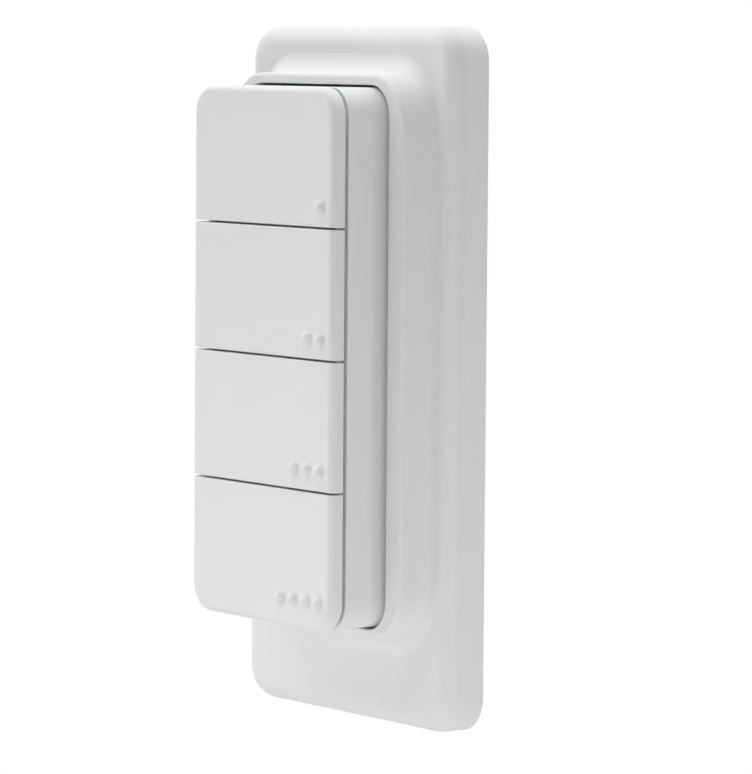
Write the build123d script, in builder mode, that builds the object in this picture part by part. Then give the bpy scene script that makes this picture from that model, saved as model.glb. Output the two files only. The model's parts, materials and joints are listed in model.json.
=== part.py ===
# Four-key wireless remote control seated in its magnetic wall holder.
# Sizes are in millimetres. X runs to the right seen from the front, Z runs up and Y runs to the wall.
# The origin is the middle of the holder's back face. Depths are distances from the wall towards the front.

import os
from math import asin, cos, degrees, radians, sin

from build123d import *

# Remote outline
remote_width = 30.0
remote_height = 65.0
remote_corner = 3.5
remote_thickness = 12.8

# Holder outline: margins run from the remote's outline to the holder's
holder_side_margin = 6.75
holder_top_margin = 7.42
holder_bottom_margin = 12.58
holder_corner = 4.4
flange_thickness = 5.4
flange_round = 2.4
floor_thickness = 1.6

# Holder plateau: margins run from the remote's outline to the rim's, spreads from the rim's to the foot's
# The foot flares out in a curve that meets the flange at foot_angle
rim_depth = 10.2
rim_wall = 2.25
rim_side_margin = 3.6
rim_end_margin = 1.6
rim_corner = 6.8
rim_round = 0.5
rim_inner_round = 0.2
foot_end_spread = 2.42
foot_land = 0.05
foot_angle = 5.0
foot_sections = 5
recess_side_clearance = 0.5
recess_end_clearance = 0.3

# Holder back plate, magnets and wall screw holes
plate_thickness = 1.5
plate_inset = 1.8
plate_clearance = 0.1
plate_ledge = 1.4
rib_thickness = 1.2
magnet_radius = 5.0
magnet_thickness = 2.0
magnet_edge = 0.25
pocket_clearance = 0.1
pocket_wall = 1.1
pocket_gap = 0.2
wall_hole_radius = 1.9
wall_hole_sink_radius = 3.5
wall_hole_inset = 4.8
wall_boss_radius = 4.1

# Key caps
key_count = 4
key_end_extra = 0.9
key_gap = 0.25
key_front = 17.9
key_plate = 1.2
key_side = 1.8
key_skirt = 1.2
key_round = 0.75
key_edge_break = 0.18
key_travel = 0.35
pusher_radius = 1.6
hook_inset = 4.0
hook_thickness = 1.2
hook_width = 3.0
hook_barb = 0.7
hook_length = 0.8
hook_catch_gap = 0.1

# Raised dots on the keys
dot_radius = 0.95
dot_height = 0.7
dot_embed = 0.2
dot_pitch = 2.65
dot_side_inset = 2.45
dot_rise = 2.55

# Housing
groove = 0.5
deck_thickness = 1.4
housing_wall = 1.5
lip_clearance = 0.35
lip_thickness = 0.8
lip_height = 0.6
pusher_clearance = 0.4
hook_clearance = 0.3
board_boss_radius = 2.0
cover_boss_radius = 1.8

# Rear cover
cover_seam = 8.0
cover_floor = 1.5
cover_edge_round = 1.2
tongue_height = 1.0
tongue_thickness = 0.9
tongue_clearance = 0.1
cover_column_radius = 2.1
cover_column_gap = 0.2
cover_screw_inset = 3.9
cover_hole_clearance = 0.15
head_clearance = 0.15

# Screws
screw_radius = 0.95
screw_clearance = 0.05
head_radius = 1.7
head_thickness = 1.1
driver_width = 0.5
driver_depth = 0.5
driver_length = 2.2

# Circuit board and what stands on it
board_front = 12.3
board_thickness = 1.0
board_gap = 0.7
board_corner = 2.0
board_screw_side_inset = 2.3
board_screw_end_inset = 2.1
board_hole_clearance = 0.15
board_notch_clearance = 0.3
switch_width = 4.2
switch_corner = 0.4
switch_height = 1.3
switch_floor = 0.2
switch_roof = 0.3
plunger_radius = 1.1
plunger_flange_radius = 1.5
plunger_clearance = 0.15
plunger_rise = 0.5
cell_radius = 10.0
cell_thickness = 3.2
cell_cap_radius = 8.8
cell_cap_height = 0.4
cell_edge = 0.3
contact_thickness = 0.3
contact_width = 7.0
contact_length = 14.0
contact_corner = 1.75
clip_thickness = 0.3
clip_width = 6.0
clip_gap = 0.3
clip_foot = 1.2
chip_width = 6.0
chip_thickness = 0.9
chip_edge = 0.15
chip_gap = 0.4
crystal_length = 3.2
crystal_width = 2.5
crystal_thickness = 0.8
crystal_gap = 1.6
antenna_length = 7.0
antenna_width = 1.6
antenna_thickness = 1.0
antenna_end_gap = 0.3

# Sizes that follow from the ones above
holder_width = remote_width + 2 * holder_side_margin
holder_height = remote_height + holder_top_margin + holder_bottom_margin
remote_lift = (holder_bottom_margin - holder_top_margin) / 2
remote_back = key_front - remote_thickness
key_pitch = (remote_height - 2 * key_end_extra) / key_count
key_skirt_end = key_front - key_side
key_plate_back = key_front - key_plate
hook_spacing = remote_width - 2 * hook_inset
deck_front = key_skirt_end - groove
deck_back = deck_front - deck_thickness
board_back = board_front - board_thickness
board_width = remote_width - 2 * (housing_wall + board_gap)
board_height = remote_height - 2 * (housing_wall + board_gap)
board_screw_x = board_width - 2 * board_screw_side_inset
board_screw_z = board_height - 2 * board_screw_end_inset
antenna_z = board_height / 2 - antenna_end_gap - antenna_width / 2
chip_z = antenna_z - antenna_width / 2 - chip_gap - chip_width / 2
crystal_x = chip_width / 2 + crystal_gap + crystal_length / 2
switch_top = board_front + switch_height
plunger_seat = board_front + switch_floor
plunger_low = plunger_seat + key_travel + plunger_clearance
plunger_shoulder = switch_top - switch_roof - plunger_clearance
pusher_end = switch_top + plunger_rise
hook_catch = deck_back - hook_catch_gap
hook_end = hook_catch - hook_length
cover_inside = remote_back + cover_floor
cover_screw_z = cover_screw_inset - remote_height / 2
head_back = remote_back + head_clearance
tongue_end = cover_seam + tongue_height
column_end = tongue_end + cover_column_gap
tongue_inset = housing_wall + tongue_clearance
recess_width = remote_width + 2 * recess_side_clearance
recess_height = remote_height + 2 * recess_end_clearance
recess_corner = remote_corner + recess_end_clearance
rim_width = remote_width + 2 * rim_side_margin
rim_height = remote_height + 2 * rim_end_margin
foot_side_spread = holder_side_margin - rim_side_margin - flange_round - foot_land
flare_top = rim_depth - rim_wall
flare_rise = (flare_top - flange_thickness) / cos(radians(foot_angle))
plate_width = holder_width - 2 * plate_inset
plate_height = holder_height - 2 * plate_inset
plate_corner = holder_corner - plate_inset
cavity_width = plate_width - 2 * plate_ledge
cavity_height = plate_height - 2 * plate_ledge
cavity_corner = plate_corner - plate_ledge
cavity_depth = remote_back - floor_thickness - plate_thickness
pocket_radius = magnet_radius + pocket_clearance
wall_hole_spacing = recess_height - 2 * wall_hole_inset
magnet_spacing = wall_hole_spacing - 2 * (wall_boss_radius + pocket_radius + pocket_wall + pocket_gap)
cell_front = board_back - contact_thickness
cell_back = cell_front - cell_thickness
dot_sphere = (dot_radius**2 + dot_height**2) / (2 * dot_height)
dot_latitude = degrees(asin((dot_sphere - dot_height - dot_embed) / dot_sphere))
dot_last_x = remote_width / 2 - dot_side_inset

wall_plane = Plane.XZ
remote_plane = Plane(origin=(0, 0, remote_lift), x_dir=(1, 0, 0), z_dir=(0, -1, 0))
key_heights = [key_pitch * (key_count / 2 - 0.5 - index) for index in range(key_count)]


# Outline of the remote drawn in by a distance, added to the sketch in hand
def remote_outline(inset):
    return RectangleRounded(remote_width - 2 * inset, remote_height - 2 * inset, remote_corner - inset)


os.makedirs("parts", exist_ok=True)

# Holder shell: flange, plateau with a flared foot, recess for the remote and pockets at the back
with BuildPart() as holder_shell:
    with BuildSketch(wall_plane):
        RectangleRounded(holder_width, holder_height, holder_corner)
    extrude(amount=flange_thickness)
    for step in range(foot_sections):
        angle = radians(foot_angle + (90 - foot_angle) * step / (foot_sections - 1))
        share = (1 - sin(angle)) / (1 - sin(radians(foot_angle)))
        side_spread = foot_side_spread * share
        end_spread = foot_end_spread * share
        with BuildSketch(remote_plane.offset(flare_top - flare_rise * cos(angle))):
            RectangleRounded(
                rim_width + 2 * side_spread,
                rim_height + 2 * end_spread,
                rim_corner + (side_spread + end_spread) / 2,
            )
    loft()
    with BuildSketch(remote_plane.offset(flare_top)):
        RectangleRounded(rim_width, rim_height, rim_corner)
    extrude(amount=rim_wall)
    flange_face = holder_shell.faces().filter_by(Axis.Y).sort_by(Axis.Y)[1]
    fillet(flange_face.outer_wire().edges(), flange_round)
    fillet(holder_shell.faces().sort_by(Axis.Y)[0].edges(), rim_round)
    with BuildSketch(remote_plane.offset(rim_depth)):
        RectangleRounded(recess_width, recess_height, recess_corner)
    extrude(amount=remote_back - rim_depth, mode=Mode.SUBTRACT)
    fillet(holder_shell.faces().sort_by(Axis.Y)[0].inner_wires()[0].edges(), rim_inner_round)
    with BuildSketch(wall_plane):
        RectangleRounded(
            plate_width + 2 * plate_clearance,
            plate_height + 2 * plate_clearance,
            plate_corner + plate_clearance,
        )
        with Locations((0, remote_lift)):
            with GridLocations(0, wall_hole_spacing, 1, 2):
                Circle(wall_boss_radius, mode=Mode.SUBTRACT)
    extrude(amount=plate_thickness, mode=Mode.SUBTRACT)
    with BuildSketch(wall_plane.offset(plate_thickness)):
        RectangleRounded(cavity_width, cavity_height, cavity_corner)
        with Locations((0, remote_lift)):
            RectangleRounded(
                recess_width + 2 * rib_thickness,
                recess_height + 2 * rib_thickness,
                recess_corner + rib_thickness,
                mode=Mode.SUBTRACT,
            )
            RectangleRounded(recess_width, recess_height, recess_corner)
            with GridLocations(0, wall_hole_spacing, 1, 2):
                Circle(wall_boss_radius, mode=Mode.SUBTRACT)
            with GridLocations(0, magnet_spacing, 1, 2):
                Circle(pocket_radius + pocket_wall, mode=Mode.SUBTRACT)
                Circle(pocket_radius)
    extrude(amount=cavity_depth, mode=Mode.SUBTRACT)
    with Locations(remote_plane.offset(remote_back)):
        with GridLocations(0, wall_hole_spacing, 1, 2):
            CounterSinkHole(wall_hole_radius, wall_hole_sink_radius, counter_sink_angle=90)
holder_shell.part.label = "holder_shell"
export_step(holder_shell.part, "parts/holder_shell.step")

# Holder back plate: lies on the wall, with holes for the two screw bosses
with BuildPart() as holder_back_plate:
    with BuildSketch(wall_plane):
        RectangleRounded(plate_width, plate_height, plate_corner)
        with Locations((0, remote_lift)):
            with GridLocations(0, wall_hole_spacing, 1, 2):
                Circle(wall_boss_radius + plate_clearance, mode=Mode.SUBTRACT)
    extrude(amount=plate_thickness)
holder_back_plate.part.label = "holder_back_plate"
export_step(holder_back_plate.part, "parts/holder_back_plate.step")

# Disc magnets: one pair behind the recess floor and one pair inside the rear cover
magnet_places = {
    "holder_magnet_upper": (plate_thickness, magnet_spacing / 2),
    "holder_magnet_lower": (plate_thickness, -magnet_spacing / 2),
    "remote_magnet_upper": (cover_inside, magnet_spacing / 2),
    "remote_magnet_lower": (cover_inside, -magnet_spacing / 2),
}
for name, (depth, height) in magnet_places.items():
    with BuildPart() as magnet:
        with BuildSketch(remote_plane.offset(depth)):
            with Locations((0, height)):
                Circle(magnet_radius)
        extrude(amount=magnet_thickness)
        chamfer(magnet.edges().filter_by(GeomType.CIRCLE), magnet_edge)
    magnet.part.label = name
    export_step(magnet.part, f"parts/{name}.step")

# Housing: deck under the keys, straight side walls, bosses for the board and cover
with BuildPart() as housing:
    with BuildSketch(remote_plane.offset(cover_seam)):
        remote_outline(0)
    extrude(amount=deck_front - cover_seam)
    with BuildSketch(remote_plane.offset(cover_seam)):
        remote_outline(housing_wall)
    extrude(amount=deck_back - cover_seam, mode=Mode.SUBTRACT)
    with BuildSketch(remote_plane.offset(deck_front)):
        remote_outline(key_skirt + lip_clearance)
        offset(amount=-lip_thickness, mode=Mode.SUBTRACT)
    extrude(amount=lip_height)
    with BuildSketch(remote_plane.offset(deck_front)):
        with Locations(*[(0, height) for height in key_heights]):
            Circle(pusher_radius + pusher_clearance)
            with GridLocations(hook_spacing, 0, 2, 1):
                Rectangle(hook_thickness + 2 * hook_clearance, hook_width + 2 * hook_clearance)
    extrude(amount=-deck_thickness, mode=Mode.SUBTRACT)
    with BuildSketch(remote_plane.offset(board_front)):
        with GridLocations(board_screw_x, board_screw_z, 2, 2):
            Circle(board_boss_radius)
    extrude(amount=deck_back - board_front)
    with BuildSketch(remote_plane.offset(column_end)):
        with Locations((0, cover_screw_z)):
            Circle(cover_boss_radius)
    extrude(amount=deck_back - column_end)
    with BuildSketch(remote_plane.offset(board_front)):
        with GridLocations(board_screw_x, board_screw_z, 2, 2):
            Circle(screw_radius + screw_clearance)
    extrude(amount=deck_back - board_front + deck_thickness / 2, mode=Mode.SUBTRACT)
    with BuildSketch(remote_plane.offset(column_end)):
        with Locations((0, cover_screw_z)):
            Circle(screw_radius + screw_clearance)
    extrude(amount=deck_back - column_end, mode=Mode.SUBTRACT)
housing.part.label = "housing"
export_step(housing.part, "parts/housing.step")

# Rear cover: shallow tray with a tongue, magnet pockets and a screw column
with BuildPart() as rear_cover:
    with BuildSketch(remote_plane.offset(remote_back)):
        remote_outline(0)
    extrude(amount=cover_seam - remote_back)
    fillet(rear_cover.faces().sort_by(Axis.Y)[-1].edges(), cover_edge_round)
    with BuildSketch(remote_plane.offset(cover_seam)):
        remote_outline(tongue_inset)
    extrude(amount=tongue_height)
    with BuildSketch(remote_plane.offset(cover_inside)):
        remote_outline(tongue_inset + tongue_thickness)
    extrude(amount=tongue_end - cover_inside, mode=Mode.SUBTRACT)
    with BuildSketch(remote_plane.offset(cover_inside)):
        with GridLocations(0, magnet_spacing, 1, 2):
            Circle(pocket_radius + pocket_wall)
            Circle(pocket_radius, mode=Mode.SUBTRACT)
    extrude(amount=magnet_thickness)
    with BuildSketch(remote_plane.offset(cover_inside)):
        with Locations((0, cover_screw_z)):
            Circle(cover_column_radius)
    extrude(amount=column_end - cover_inside)
    with BuildSketch(remote_plane.offset(remote_back)):
        with Locations((0, cover_screw_z)):
            Circle(screw_radius + cover_hole_clearance)
    extrude(amount=column_end - remote_back, mode=Mode.SUBTRACT)
    with BuildSketch(remote_plane.offset(remote_back)):
        with Locations((0, cover_screw_z)):
            Circle(head_radius + head_clearance)
    extrude(amount=head_thickness + head_clearance, mode=Mode.SUBTRACT)
rear_cover.part.label = "rear_cover"
export_step(rear_cover.part, "parts/rear_cover.step")

# Cover screw: pan head sunk in the rear cover
with BuildPart() as cover_screw:
    with BuildSketch(remote_plane.offset(head_back)):
        with Locations((0, cover_screw_z)):
            Circle(head_radius)
    extrude(amount=head_thickness)
    with BuildSketch(remote_plane.offset(head_back + head_thickness)):
        with Locations((0, cover_screw_z)):
            Circle(screw_radius)
    extrude(amount=board_front - head_back - head_thickness)
    with BuildSketch(remote_plane.offset(head_back)):
        with Locations((0, cover_screw_z)):
            Rectangle(driver_length, driver_width)
            Rectangle(driver_width, driver_length)
    extrude(amount=driver_depth, mode=Mode.SUBTRACT)
cover_screw.part.label = "cover_screw"
export_step(cover_screw.part, "parts/cover_screw.step")

# Circuit board: screw holes and a notch that lets the cover boss through
with BuildPart() as circuit_board:
    with BuildSketch(remote_plane.offset(board_back)):
        RectangleRounded(board_width, board_height, board_corner)
        with GridLocations(board_screw_x, board_screw_z, 2, 2):
            Circle(screw_radius + board_hole_clearance, mode=Mode.SUBTRACT)
        with Locations((0, cover_screw_z)):
            Circle(cover_boss_radius + board_notch_clearance, mode=Mode.SUBTRACT)
            Rectangle(
                2 * (cover_boss_radius + board_notch_clearance),
                remote_height / 2 + cover_screw_z,
                align=(Align.CENTER, Align.MAX),
                mode=Mode.SUBTRACT,
            )
    extrude(amount=board_thickness)
circuit_board.part.label = "circuit_board"
export_step(circuit_board.part, "parts/circuit_board.step")

# Board screws: four alike, heads on the back of the board
with BuildPart() as board_screws:
    with BuildSketch(remote_plane.offset(board_back)):
        with GridLocations(board_screw_x, board_screw_z, 2, 2):
            Circle(head_radius)
    extrude(amount=-head_thickness)
    with BuildSketch(remote_plane.offset(board_back)):
        with GridLocations(board_screw_x, board_screw_z, 2, 2):
            Circle(screw_radius)
    extrude(amount=deck_back - board_back)
    with BuildSketch(remote_plane.offset(board_back - head_thickness)):
        with GridLocations(board_screw_x, board_screw_z, 2, 2):
            Rectangle(driver_length, driver_width)
            Rectangle(driver_width, driver_length)
    extrude(amount=driver_depth, mode=Mode.SUBTRACT)
board_screws.part.label = "board_screws"
export_step(board_screws.part, "parts/board_screws.step")

# Coin cell: can with a stepped negative cap towards the board
with BuildPart() as coin_cell:
    with BuildSketch(remote_plane.offset(cell_back)):
        Circle(cell_radius)
    extrude(amount=cell_thickness - cell_cap_height)
    chamfer(coin_cell.edges().filter_by(GeomType.CIRCLE), cell_edge)
    with BuildSketch(remote_plane.offset(cell_front - cell_cap_height)):
        Circle(cell_cap_radius)
    extrude(amount=cell_cap_height)
    chamfer(coin_cell.faces().sort_by(Axis.Y)[0].edges(), cell_edge / 2)
coin_cell.part.label = "coin_cell"
export_step(coin_cell.part, "parts/coin_cell.step")

# Cell contact: negative strip between the cell and the board
with BuildPart() as cell_contact:
    with BuildSketch(remote_plane.offset(cell_front)):
        RectangleRounded(contact_width, contact_length, contact_corner)
    extrude(amount=contact_thickness)
cell_contact.part.label = "cell_contact"
export_step(cell_contact.part, "parts/cell_contact.step")

# Cell clip: steel strap bent over the cell, with feet soldered to the board
with BuildPart() as cell_clip:
    with BuildSketch(Plane.XY.offset(remote_lift)):
        with BuildLine():
            Polyline(
                (cell_radius + clip_gap + clip_foot, -board_back + clip_thickness / 2),
                (cell_radius + clip_gap + clip_thickness / 2, -board_back + clip_thickness / 2),
                (cell_radius + clip_gap + clip_thickness / 2, -cell_back + clip_thickness / 2),
                (-cell_radius - clip_gap - clip_thickness / 2, -cell_back + clip_thickness / 2),
                (-cell_radius - clip_gap - clip_thickness / 2, -board_back + clip_thickness / 2),
                (-cell_radius - clip_gap - clip_foot, -board_back + clip_thickness / 2),
            )
            offset(amount=clip_thickness / 2, side=Side.BOTH)
        make_face()
    extrude(amount=clip_width / 2, both=True)
cell_clip.part.label = "cell_clip"
export_step(cell_clip.part, "parts/cell_clip.step")

# Radio chip, crystal and antenna on the back of the board
board_chips = {
    "radio_chip": (chip_width, chip_width, chip_thickness, 0, chip_z),
    "crystal": (crystal_length, crystal_width, crystal_thickness, crystal_x, chip_z),
    "antenna_chip": (antenna_length, antenna_width, antenna_thickness, 0, antenna_z),
}
for name, (length, width, thickness, place_x, place_z) in board_chips.items():
    with BuildPart() as chip:
        with BuildSketch(remote_plane.offset(board_back)):
            with Locations((place_x, place_z)):
                Rectangle(length, width)
        extrude(amount=-thickness)
        chamfer(chip.faces().sort_by(Axis.Y)[-1].edges(), chip_edge)
    chip.part.label = name
    export_step(chip.part, f"parts/{name}.step")

# Switch bodies: boxes with a roof that keeps the plunger in
for index, key_z in enumerate(key_heights):
    with BuildPart() as switch_body:
        with BuildSketch(remote_plane.offset(board_front)):
            with Locations((0, key_z)):
                RectangleRounded(switch_width, switch_width, switch_corner)
        extrude(amount=switch_height)
        with BuildSketch(remote_plane.offset(plunger_seat)):
            with Locations((0, key_z)):
                Circle(plunger_flange_radius + plunger_clearance)
        extrude(amount=switch_height - switch_floor - switch_roof, mode=Mode.SUBTRACT)
        with BuildSketch(remote_plane.offset(plunger_seat)):
            with Locations((0, key_z)):
                Circle(plunger_radius + plunger_clearance)
        extrude(amount=switch_height, mode=Mode.SUBTRACT)
    switch_body.part.label = f"switch_body_{index + 1}"
    export_step(switch_body.part, f"parts/switch_body_{index + 1}.step")

# Switch plungers: flanged pins that the keys press
for index, key_z in enumerate(key_heights):
    with BuildPart() as switch_plunger:
        with BuildSketch(remote_plane.offset(plunger_low)):
            with Locations((0, key_z)):
                Circle(plunger_flange_radius)
        extrude(amount=plunger_shoulder - plunger_low)
        with BuildSketch(remote_plane.offset(plunger_low)):
            with Locations((0, key_z)):
                Circle(plunger_radius)
        extrude(amount=pusher_end - plunger_low)
    switch_plunger.part.label = f"switch_plunger_{index + 1}"
    export_step(switch_plunger.part, f"parts/switch_plunger_{index + 1}.step")

# Key caps: slices of one rounded front, each with its pusher, hooks and raised dots
for index, key_z in enumerate(key_heights):
    key_low = -remote_height if index == key_count - 1 else key_z - key_pitch / 2 + key_gap / 2
    key_high = remote_height if index == 0 else key_z + key_pitch / 2 - key_gap / 2
    with BuildPart() as key:
        with BuildSketch(remote_plane.offset(key_skirt_end)):
            remote_outline(0)
        extrude(amount=key_side)
        fillet(key.faces().sort_by(Axis.Y)[0].edges(), key_round)
        with BuildSketch(remote_plane.offset(key_skirt_end)):
            remote_outline(key_skirt)
        extrude(amount=key_side - key_plate, mode=Mode.SUBTRACT)
        with BuildSketch(remote_plane.offset(key_skirt_end)):
            with Locations((0, (key_low + key_high) / 2)):
                Rectangle(remote_width, key_high - key_low)
        extrude(amount=key_side, mode=Mode.INTERSECT)
        front_face = key.faces().filter_by(Axis.Y).sort_by(Axis.Y)[0]
        divider_edges = front_face.edges().filter_by(Axis.X).filter_by(
            lambda edge: abs(edge.center().Z - remote_lift) < remote_height / 2 - key_pitch / 2
        )
        fillet(divider_edges, key_edge_break)
        with BuildSketch(remote_plane.offset(key_plate_back)):
            with Locations((0, key_z)):
                Circle(pusher_radius)
        extrude(amount=pusher_end - key_plate_back)
        with BuildSketch(remote_plane.offset(hook_end)):
            with Locations((0, key_z)):
                with GridLocations(hook_spacing, 0, 2, 1):
                    Rectangle(hook_thickness, hook_width)
        extrude(amount=key_plate_back - hook_end)
        with BuildSketch(Plane.XY.offset(remote_lift + key_z)):
            with BuildLine():
                Polyline(
                    ((hook_spacing + hook_thickness) / 2, -hook_catch),
                    ((hook_spacing + hook_thickness) / 2 + hook_barb, -hook_catch),
                    ((hook_spacing + hook_thickness) / 2, -hook_end),
                    close=True,
                )
            make_face()
            mirror(about=Plane.YZ)
        extrude(amount=hook_width / 2, both=True)
        dot_z = key_z - key_pitch / 2 + dot_rise
        with Locations(remote_plane.offset(key_front - dot_sphere + dot_height)):
            with Locations(*[(dot_last_x - dot_pitch * dot, dot_z) for dot in range(index + 1)]):
                Sphere(dot_sphere, arc_size1=dot_latitude, align=None)
    key.part.label = f"key_{index + 1}"
    export_step(key.part, f"parts/key_{index + 1}.step")
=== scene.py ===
# White four-key remote control in its wall holder, on a white studio ground.
# Lengths are written in millimetres and turned to metres where they are used.

import json
from math import cos, radians, sin

import bmesh
import bpy
from mathutils import Matrix, Vector


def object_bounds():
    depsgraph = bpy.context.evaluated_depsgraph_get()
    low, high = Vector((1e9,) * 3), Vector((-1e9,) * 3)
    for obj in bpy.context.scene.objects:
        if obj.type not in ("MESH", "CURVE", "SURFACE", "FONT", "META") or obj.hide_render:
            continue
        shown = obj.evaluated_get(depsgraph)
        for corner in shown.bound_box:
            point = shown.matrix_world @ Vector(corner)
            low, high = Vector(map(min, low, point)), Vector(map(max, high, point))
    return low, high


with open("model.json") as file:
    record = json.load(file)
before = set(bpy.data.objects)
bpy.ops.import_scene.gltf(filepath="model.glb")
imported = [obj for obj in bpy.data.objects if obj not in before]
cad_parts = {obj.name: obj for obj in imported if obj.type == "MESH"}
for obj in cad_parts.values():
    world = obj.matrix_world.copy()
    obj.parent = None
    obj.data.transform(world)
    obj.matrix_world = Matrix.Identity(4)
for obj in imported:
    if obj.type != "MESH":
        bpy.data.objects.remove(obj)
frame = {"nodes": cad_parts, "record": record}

cad_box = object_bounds()

MM = 0.001

# Camera at the photograph's place: angles in degrees, lengths in millimetres, clip distances in metres
view_azimuth = 54.494
view_elevation = 4.287
view_roll = 0.449
view_distance = 554.221
view_target = (10.269, -8.0, -1.033)
view_focal_px = 4588.5
view_clip = (0.01, 20.0)
image_height_px = 774
sensor_mm = 36.0

# Lamps: direction from the object in degrees, size and distance in metres, strength in watts
lamps = {
    "overhead_lamp": {"azimuth": 0, "elevation": 85, "distance": 1.0, "size": 0.9, "watts": 6.36},
    "front_top_lamp": {"azimuth": 0, "elevation": 55, "distance": 1.0, "size": 0.9, "watts": 0.714},
    "back_lamp": {"azimuth": 180, "elevation": 50, "distance": 1.0, "size": 0.9, "watts": 3.76},
    "behind_lamp": {"azimuth": 180, "elevation": 0, "distance": 1.0, "size": 0.3, "watts": 2.9},
    "left_top_lamp": {"azimuth": -60, "elevation": 45, "distance": 1.0, "size": 0.9, "watts": 3.61},
    "left_lamp": {"azimuth": -60, "elevation": 0, "distance": 1.0, "size": 0.9, "watts": 1.51},
    "front_left_lamp": {"azimuth": -30, "elevation": 25, "distance": 1.0, "size": 0.9, "watts": 1.18},
    "wall_side_lamp": {"azimuth": 140, "elevation": 0, "distance": 1.0, "size": 0.9, "watts": 1.55},
    "right_back_lamp": {"azimuth": 116, "elevation": 0, "distance": 1.0, "size": 0.12, "watts": 0.429},
    "near_right_lamp": {"azimuth": 54, "elevation": -8, "distance": 0.25, "size": 0.15, "watts": 0.1252},
    "near_front_lamp": {"azimuth": 0, "elevation": -10, "distance": 0.25, "size": 0.15, "watts": 0.0338},
    "near_left_lamp": {"azimuth": -60, "elevation": -20, "distance": 0.2, "size": 0.15, "watts": 0.0254},
    "low_front_lamp": {"azimuth": 0, "elevation": -50, "distance": 0.2, "size": 0.15, "watts": 0.16},
    "low_right_lamp": {"azimuth": 100, "elevation": -30, "distance": 0.2, "size": 0.15, "watts": 0.0842},
}

# White ground and floor: light level seen by the camera, place and reach of the floor in metres
ground_level = 1.0
floor_depth = 0.12
floor_reach = 3.0
floor_colour = (0.35, 0.35, 0.35)
floor_glow = 0.65
floor_fade = (0.25, 0.60)

# Plastics: colour, colour drift, roughness, and size and depth of the grain in millimetres
white = (0.80, 0.80, 0.80)
black = (0.02, 0.02, 0.02)
plastics = {
    "holder_white": (white, 0.006, 0.46, 0.12, 0.012),
    "housing_white": (white, 0.006, 0.44, 0.12, 0.012),
    "key_white": (white, 0.006, 0.42, 0.10, 0.010),
    "board_green": ((0.02, 0.10, 0.05), 0.1, 0.3, 0.3, 0.01),
    "chip_black": (black, 0.1, 0.55, 0.1, 0.01),
    "antenna_ceramic": ((0.70, 0.66, 0.58), 0.02, 0.5, 0.1, 0.01),
    "plunger_black": (black, 0.1, 0.5, 0.1, 0.01),
}
cloud_mm = 14.0
cloud_detail = 3.0
grain_detail = 2.0
grain_strength = 0.25
plastic_gloss_spread = 0.06
plastic_ior = 1.5
plastic_specular = 0.3

# Metals: colour and roughness
metals = {
    "magnet_nickel": ((0.62, 0.59, 0.54), 0.25),
    "screw_steel": ((0.45, 0.45, 0.46), 0.35),
    "cell_steel": ((0.58, 0.58, 0.59), 0.28),
    "contact_steel": ((0.52, 0.50, 0.46), 0.3),
    "crystal_metal": ((0.55, 0.55, 0.55), 0.3),
    "switch_steel": ((0.52, 0.52, 0.53), 0.3),
}
streak_mm = 0.4
streak_detail = 3.0
streak_depth = 0.01
streak_strength = 0.1
streak_shade = 0.94
metal_gloss_spread = 0.08


# Unit vector from the object towards a place given by its azimuth and elevation
def direction(azimuth, elevation):
    a, e = radians(azimuth), radians(elevation)
    return Vector((sin(a) * cos(e), -cos(a) * cos(e), sin(e)))


def place_camera():
    azimuth, roll = radians(view_azimuth), radians(view_roll)
    back = direction(view_azimuth, view_elevation)
    level = Vector((cos(azimuth), sin(azimuth), 0.0))
    upright = back.cross(level)
    right = level * cos(roll) + upright * sin(roll)
    up = upright * cos(roll) - level * sin(roll)
    data = bpy.data.cameras.new("photo_camera")
    data.sensor_width = sensor_mm
    data.sensor_fit = "AUTO"
    data.lens = view_focal_px * sensor_mm / image_height_px
    data.clip_start, data.clip_end = view_clip
    camera = bpy.data.objects.new("photo_camera", data)
    bpy.context.scene.collection.objects.link(camera)
    turn = Matrix((right, up, back)).transposed().to_4x4()
    eye = Vector(view_target) * MM + back * (view_distance * MM)
    camera.matrix_world = Matrix.Translation(eye) @ turn
    bpy.context.scene.camera = camera


def place_lamp(name, azimuth, elevation, distance, size, watts):
    out = direction(azimuth, elevation)
    data = bpy.data.lights.new(name, "AREA")
    data.shape = "DISK"
    data.size = size
    data.energy = watts
    lamp = bpy.data.objects.new(name, data)
    bpy.context.scene.collection.objects.link(lamp)
    lamp.location = out * distance
    lamp.rotation_euler = out.to_track_quat("Z", "Y").to_euler()


# Rays that see the white studio ground: straight from the camera, off gloss and through glass
def ground_rays(nodes, links):
    path = nodes.new("ShaderNodeLightPath")
    gloss = nodes.new("ShaderNodeMath")
    gloss.operation = "MAXIMUM"
    links.new(path.outputs["Is Camera Ray"], gloss.inputs[0])
    links.new(path.outputs["Is Glossy Ray"], gloss.inputs[1])
    seen = nodes.new("ShaderNodeMath")
    seen.operation = "MAXIMUM"
    links.new(gloss.outputs["Value"], seen.inputs[0])
    links.new(path.outputs["Is Transmission Ray"], seen.inputs[1])
    return seen.outputs["Value"]


# World: white to the rays that see the ground and dark to the rest, so that the lamps alone give light
def light_world():
    world = bpy.data.worlds.new("studio_world")
    bpy.context.scene.world = world
    world.use_nodes = True
    nodes, links = world.node_tree.nodes, world.node_tree.links
    nodes.clear()
    ground = nodes.new("ShaderNodeBackground")
    ground.name = "white_ground"
    ground.inputs["Color"].default_value = (1, 1, 1, 1)
    ground.inputs["Strength"].default_value = ground_level
    dark = nodes.new("ShaderNodeBackground")
    dark.name = "dark_studio"
    dark.inputs["Strength"].default_value = 0.0
    mix = nodes.new("ShaderNodeMixShader")
    links.new(ground_rays(nodes, links), mix.inputs["Fac"])
    links.new(dark.outputs["Background"], mix.inputs[1])
    links.new(ground.outputs["Background"], mix.inputs[2])
    out = nodes.new("ShaderNodeOutputWorld")
    links.new(mix.outputs["Shader"], out.inputs["Surface"])


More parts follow.
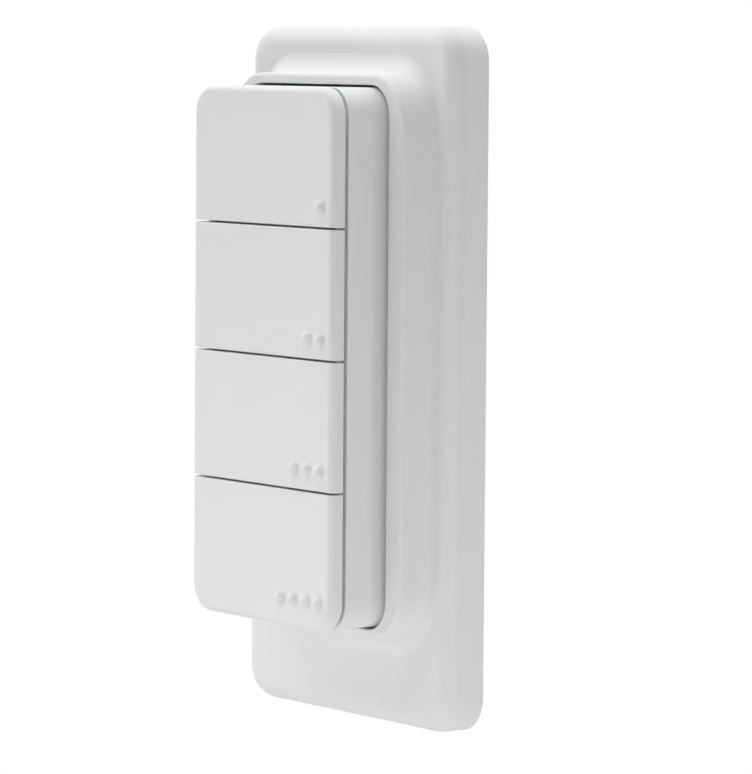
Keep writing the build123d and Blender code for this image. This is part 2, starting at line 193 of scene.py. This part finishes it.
def empty_material(name):
    material = bpy.data.materials.new(name)
    material.use_nodes = True
    material.node_tree.nodes.clear()
    return material, material.node_tree.nodes, material.node_tree.links


# Noise on the piece's own coordinates
def noise_texture(nodes, links, size_mm, detail):
    place = nodes.new("ShaderNodeTexCoord")
    noise = nodes.new("ShaderNodeTexNoise")
    noise.inputs["Scale"].default_value = 1 / (size_mm * MM)
    noise.inputs["Detail"].default_value = detail
    links.new(place.outputs["Object"], noise.inputs["Vector"])
    return noise.outputs["Fac"]


# Shader whose colour drifts between two shades, and whose gloss and height follow a finer noise
def varied_shader(nodes, links, drift, shades, noise, roughness, spread, strength, depth_mm):
    tint = nodes.new("ShaderNodeMix")
    tint.data_type = "RGBA"
    tint.inputs["A"].default_value = (*shades[0], 1)
    tint.inputs["B"].default_value = (*shades[1], 1)
    links.new(drift, tint.inputs["Factor"])
    gloss = nodes.new("ShaderNodeMapRange")
    gloss.inputs["To Min"].default_value = roughness - spread
    gloss.inputs["To Max"].default_value = roughness + spread
    links.new(noise, gloss.inputs["Value"])
    bump = nodes.new("ShaderNodeBump")
    bump.inputs["Strength"].default_value = strength
    bump.inputs["Distance"].default_value = depth_mm * MM
    links.new(noise, bump.inputs["Height"])
    shader = nodes.new("ShaderNodeBsdfPrincipled")
    links.new(tint.outputs["Result"], shader.inputs["Base Color"])
    links.new(gloss.outputs["Result"], shader.inputs["Roughness"])
    links.new(bump.outputs["Normal"], shader.inputs["Normal"])
    out = nodes.new("ShaderNodeOutputMaterial")
    links.new(shader.outputs["BSDF"], out.inputs["Surface"])
    return shader


# Moulded plastic: faint colour drift, fine grain in the surface and slightly uneven gloss
def moulded_plastic(name, colour, drift, roughness, grain_mm, grain_depth):
    material, nodes, links = empty_material(name)
    cloud = noise_texture(nodes, links, cloud_mm, cloud_detail)
    grain = noise_texture(nodes, links, grain_mm, grain_detail)
    shades = ([c * (1 - drift) for c in colour], [c * (1 + drift) for c in colour])
    look = (roughness, plastic_gloss_spread, grain_strength, grain_depth)
    shader = varied_shader(nodes, links, cloud, shades, grain, *look)
    shader.inputs["IOR"].default_value = plastic_ior
    shader.inputs["Specular IOR Level"].default_value = plastic_specular
    return material


# Metal: faint brushed streaks in colour, gloss and height
def plated_metal(name, colour, roughness):
    material, nodes, links = empty_material(name)
    streak = noise_texture(nodes, links, streak_mm, streak_detail)
    shades = ([c * streak_shade for c in colour], colour)
    look = (roughness, metal_gloss_spread, streak_strength, streak_depth)
    shader = varied_shader(nodes, links, streak, shades, streak, *look)
    shader.inputs["Metallic"].default_value = 1.0
    return material


def dress_nodes():
    finishes = {name: moulded_plastic(name, *look) for name, look in plastics.items()}
    finishes.update({name: plated_metal(name, *look) for name, look in metals.items()})
    slot_of = {part["node"]: part["material_slot"] for part in frame["record"]["subparts"]}
    for node, obj in frame["nodes"].items():
        for index in range(len(obj.material_slots)):
            obj.material_slots[index].material = finishes[slot_of[node]]


# Share of plain white on the floor, from none near the object to all of it far out
def white_share(nodes, links):
    place = nodes.new("ShaderNodeTexCoord")
    level = nodes.new("ShaderNodeVectorMath")
    level.operation = "MULTIPLY"
    level.inputs[1].default_value = (1, 1, 0)
    links.new(place.outputs["Object"], level.inputs[0])
    away = nodes.new("ShaderNodeVectorMath")
    away.operation = "LENGTH"
    links.new(level.outputs["Vector"], away.inputs[0])
    fade = nodes.new("ShaderNodeMapRange")
    fade.interpolation_type = "SMOOTHSTEP"
    fade.inputs["From Min"].default_value = floor_fade[0]
    fade.inputs["From Max"].default_value = floor_fade[1]
    links.new(away.outputs["Value"], fade.inputs["Value"])
    return fade.outputs["Result"]


# Floor finish: matt with a glow that leaves the shadow on it, fading to plain white far out
def floor_finish():
    material, nodes, links = empty_material("studio_floor")
    matt = nodes.new("ShaderNodeBsdfDiffuse")
    matt.inputs["Color"].default_value = (*floor_colour, 1)
    glow = nodes.new("ShaderNodeEmission")
    glow.name = "near_glow"
    glow.inputs["Strength"].default_value = floor_glow
    lit = nodes.new("ShaderNodeAddShader")
    links.new(matt.outputs["BSDF"], lit.inputs[0])
    links.new(glow.outputs["Emission"], lit.inputs[1])
    far = nodes.new("ShaderNodeEmission")
    far.name = "far_white"
    far.inputs["Strength"].default_value = ground_level
    ground = nodes.new("ShaderNodeMixShader")
    links.new(white_share(nodes, links), ground.inputs["Fac"])
    links.new(lit.outputs["Shader"], ground.inputs[1])
    links.new(far.outputs["Emission"], ground.inputs[2])
    mix = nodes.new("ShaderNodeMixShader")
    links.new(ground_rays(nodes, links), mix.inputs["Fac"])
    links.new(matt.outputs["BSDF"], mix.inputs[1])
    links.new(ground.outputs["Shader"], mix.inputs[2])
    out = nodes.new("ShaderNodeOutputMaterial")
    links.new(mix.outputs["Shader"], out.inputs["Surface"])
    return material


def lay_floor():
    shape = bmesh.new()
    bmesh.ops.create_grid(shape, x_segments=1, y_segments=1, size=floor_reach)
    bmesh.ops.translate(shape, vec=(0, 0, cad_box[0][2] - floor_depth), verts=shape.verts)
    mesh = bpy.data.meshes.new("studio_floor")
    shape.to_mesh(mesh)
    shape.free()
    floor = bpy.data.objects.new("studio_floor", mesh)
    bpy.context.scene.collection.objects.link(floor)
    floor.data.materials.append(floor_finish())


place_camera()
for lamp_name, lamp in lamps.items():
    place_lamp(lamp_name, **lamp)
light_world()
dress_nodes()
lay_floor()
bpy.context.scene.view_settings.view_transform = "Standard"
